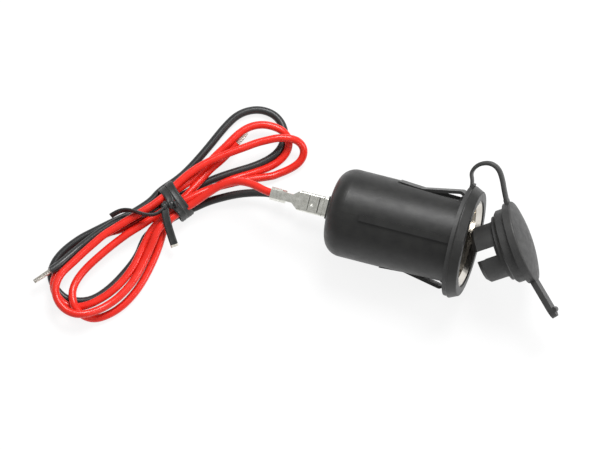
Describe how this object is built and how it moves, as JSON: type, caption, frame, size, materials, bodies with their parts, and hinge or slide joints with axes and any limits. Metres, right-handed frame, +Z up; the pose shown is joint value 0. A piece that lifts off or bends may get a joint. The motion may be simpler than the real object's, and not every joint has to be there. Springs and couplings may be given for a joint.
{
  "type": "car 12 V power socket",
  "caption": "Panel-mount 12 V car power socket with a flanged black barrel, plated contact sleeve, tethered rubber cap, push-on terminals and a tied hank of red and black wire.",
  "frame": {"origin": "on the floor under the middle of the socket, cap and terminals as they lie", "axes": "+X along the socket towards its mouth, +Y to the side that the cap's strap leans to, +Z up"},
  "size_m": [0.1611, 0.0849, 0.0357],
  "materials": {
    "black_plastic": "satin moulded black plastic with a fine grain",
    "nickel_plate": "drawn steel with bright nickel plating",
    "insulator_board": "brown phenolic board",
    "contact_brass": "bare brass strip",
    "tinned_brass": "bright tinned strip with press marks",
    "red_insulation": "soft red wire insulation with a satin sheen",
    "black_insulation": "soft black wire insulation with a satin sheen",
    "tie_plastic": "ribbed black strip over a wire core",
    "tinned_copper": "fine tinned strands, twisted together",
    "cap_rubber": "moulded black rubber, slightly dusty"
  },
  "bodies": {
    "socket": {"housing": "black_plastic", "contact_sleeve": "nickel_plate", "inner_insulator": "insulator_board", "outer_insulator": "insulator_board", "centre_contact": "contact_brass", "centre_rivet": "contact_brass", "centre_terminal": "contact_brass", "sleeve_terminal": "nickel_plate", "sleeve_rivet": "nickel_plate", "red_receptacle": "tinned_brass", "black_receptacle": "tinned_brass", "red_lead": "red_insulation", "black_lead": "black_insulation", "wire_hank": "red_insulation", "twist_tie": "tie_plastic", "red_wire_strands": "tinned_copper", "black_wire_strands": "tinned_copper", "strap_ring": "cap_rubber", "cap_strap": "cap_rubber"},
    "cap": {"rubber_cap": "cap_rubber"}
  },
  "joints": [
    {"name": "cap_swing", "type": "hinge", "parent": "socket", "child": "cap", "pos_m": [0.01632, 0.01956, 0.02708], "axis": [-0.0988, -0.3551, 0.9296], "range_deg": [-32.5, 100], "deforming": ["cap_strap"]}
  ]
}
